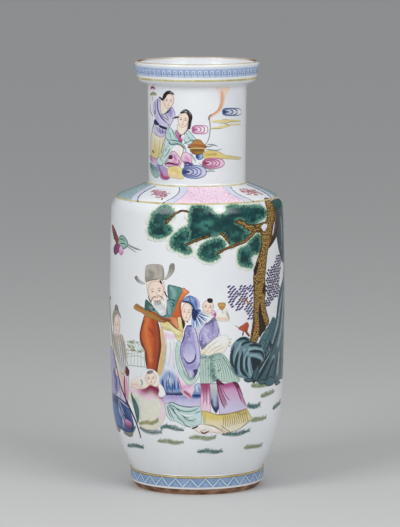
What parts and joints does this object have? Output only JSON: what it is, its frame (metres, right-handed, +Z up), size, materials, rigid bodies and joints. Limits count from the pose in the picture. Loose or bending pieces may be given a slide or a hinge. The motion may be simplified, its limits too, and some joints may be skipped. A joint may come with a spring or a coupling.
{
  "type": "rouleau vase",
  "caption": "Tall cylindrical porcelain vase with a sloped shoulder, a straight neck, a flaring mouth and a turned foot ring, painted in enamels.",
  "frame": {"origin": "centre of the ring that the vase stands on, on the table", "axes": "+Z up along the axis of the vase, -Y towards its painted front"},
  "size_m": [0.1843, 0.1844, 0.4499],
  "materials": {
    "biscuit": "matt fired porcelain clay",
    "slip": "matt fired slip",
    "white_glaze": "glossy cool white glaze",
    "iron_brown": "thin matt iron-brown dressing",
    "fret_blue": "glossy pale blue enamel",
    "yellow_enamel": "glossy olive yellow enamel",
    "pink_enamel": "glossy pink enamel",
    "turquoise_enamel": "glossy turquoise enamel",
    "pale_blue_enamel": "glossy pale blue enamel",
    "border_blue": "glossy blue enamel"
  },
  "bodies": {
    "root": {"foot_ring": "biscuit", "lower_body": "biscuit", "upper_body": "biscuit", "shoulder": "biscuit", "neck": "biscuit", "mouth_rim": "biscuit", "foot_seam_slip": "slip", "body_seam_slip": "slip", "shoulder_seam_slip": "slip", "neck_seam_slip": "slip", "mouth_seam_slip": "slip", "outer_glaze": "white_glaze", "inner_glaze": "white_glaze", "base_glaze": "white_glaze", "lip_dressing": "iron_brown", "foot_dressing": "iron_brown", "mouth_fret_band": "fret_blue", "mouth_line": "yellow_enamel", "neck_line": "yellow_enamel", "shoulder_pink_panels": "pink_enamel", "shoulder_green_panels": "turquoise_enamel", "shoulder_blue_frames": "pale_blue_enamel", "shoulder_line": "yellow_enamel", "foot_line": "yellow_enamel", "foot_border": "border_blue"}
  },
  "joints": []
}
